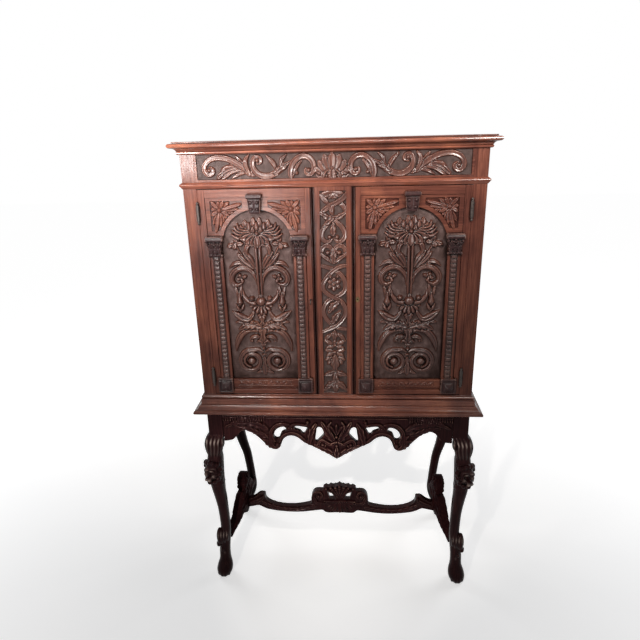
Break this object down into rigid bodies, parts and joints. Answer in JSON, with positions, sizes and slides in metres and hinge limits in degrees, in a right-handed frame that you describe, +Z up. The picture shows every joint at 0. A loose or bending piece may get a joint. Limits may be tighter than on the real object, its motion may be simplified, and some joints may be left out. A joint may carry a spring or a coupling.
{
  "type": "china hutch",
  "caption": "Tall carved walnut cabinet with arched relief doors either side of a strapwork panel, on a stand with lion legs, pierced apron and crested stretchers.",
  "frame": {"origin": "middle of the footprint at floor level, under the centre of the overall box", "axes": "+X to the right seen from the front, +Y to the back, +Z up; the doors face -Y"},
  "size_m": [1.034, 0.487, 1.7228],
  "materials": {
    "case_walnut": "waxed reddish walnut with wear",
    "carved_walnut": "carved walnut with a dark tooled ground",
    "stand_walnut": "dark stained carved walnut",
    "inner_oak": "plain unpolished boards",
    "dark_iron": "blackened iron",
    "aged_brass": "tarnished brass"
  },
  "bodies": {
    "case": {"apron_front": "stand_walnut", "back_panel": "inner_oak", "bottom_board": "inner_oak", "case_hinge_left_lower": "dark_iron", "case_hinge_left_upper": "dark_iron", "case_hinge_right_lower": "dark_iron", "case_hinge_right_upper": "dark_iron", "centre_panel": "carved_walnut", "centre_stile": "case_walnut", "cornice_moulding": "case_walnut", "frieze_board": "case_walnut", "frieze_panel": "carved_walnut", "front_bottom_rail": "case_walnut", "front_stile_left": "case_walnut", "front_stile_right": "case_walnut", "leg_back_left": "stand_walnut", "leg_back_right": "stand_walnut", "leg_front_left": "stand_walnut", "leg_front_right": "stand_walnut", "necking_moulding": "case_walnut", "rail_back": "stand_walnut", "rail_side_left": "stand_walnut", "rail_side_right": "stand_walnut", "shelf": "inner_oak", "side_left": "case_walnut", "side_right": "case_walnut", "stand_top_board": "stand_walnut", "stretcher_middle": "stand_walnut", "stretcher_side_left": "stand_walnut", "stretcher_side_right": "stand_walnut", "top_board": "case_walnut", "waist_moulding": "case_walnut"},
    "left_door": {"left_door_arch_board": "case_walnut", "left_door_bottom_rail": "case_walnut", "left_door_hinge_leaf_lower": "dark_iron", "left_door_hinge_leaf_upper": "dark_iron", "left_door_hinge_stile": "case_walnut", "left_door_keystone": "carved_walnut", "left_door_lock_case": "dark_iron", "left_door_meeting_stile": "case_walnut", "left_door_panel": "carved_walnut", "left_door_pilaster_hinge": "carved_walnut", "left_door_pilaster_meeting": "carved_walnut", "left_door_top_rail": "case_walnut"},
    "right_door": {"right_door_arch_board": "case_walnut", "right_door_bottom_rail": "case_walnut", "right_door_escutcheon": "aged_brass", "right_door_hinge_leaf_lower": "dark_iron", "right_door_hinge_leaf_upper": "dark_iron", "right_door_hinge_stile": "case_walnut", "right_door_keystone": "carved_walnut", "right_door_lock_case": "dark_iron", "right_door_meeting_stile": "case_walnut", "right_door_panel": "carved_walnut", "right_door_pilaster_hinge": "carved_walnut", "right_door_pilaster_meeting": "carved_walnut", "right_door_top_rail": "case_walnut"},
    "left_bolt": {"left_door_bolt": "dark_iron"},
    "right_bolt": {"right_door_bolt": "dark_iron"},
    "key": {"key": "dark_iron"}
  },
  "joints": [
    {"name": "left_door_hinge", "type": "hinge", "parent": "case", "child": "left_door", "pos_m": [-0.4362, -0.2127, 1.215], "axis": [0, 0, -1], "range_deg": [0, 115]},
    {"name": "right_door_hinge", "type": "hinge", "parent": "case", "child": "right_door", "pos_m": [0.4362, -0.2127, 1.215], "axis": [0, 0, 1], "range_deg": [0, 115]},
    {"name": "key_turn", "type": "hinge", "parent": "left_door", "child": "key", "pos_m": [-0.0785, -0.2065, 1.2071], "axis": [0, -1, 0], "range_deg": [0, 90]},
    {"name": "left_bolt_slide", "type": "slide", "parent": "left_door", "child": "left_bolt", "axis": [1, 0, 0], "range_m": [0, 0.01]},
    {"name": "right_bolt_slide", "type": "slide", "parent": "right_door", "child": "right_bolt", "axis": [-1, 0, 0], "range_m": [0, 0.01]}
  ],
  "couplings": [
    {"joint": "key_turn", "follows": "left_bolt_slide", "rad_per_m": 157.07}
  ]
}
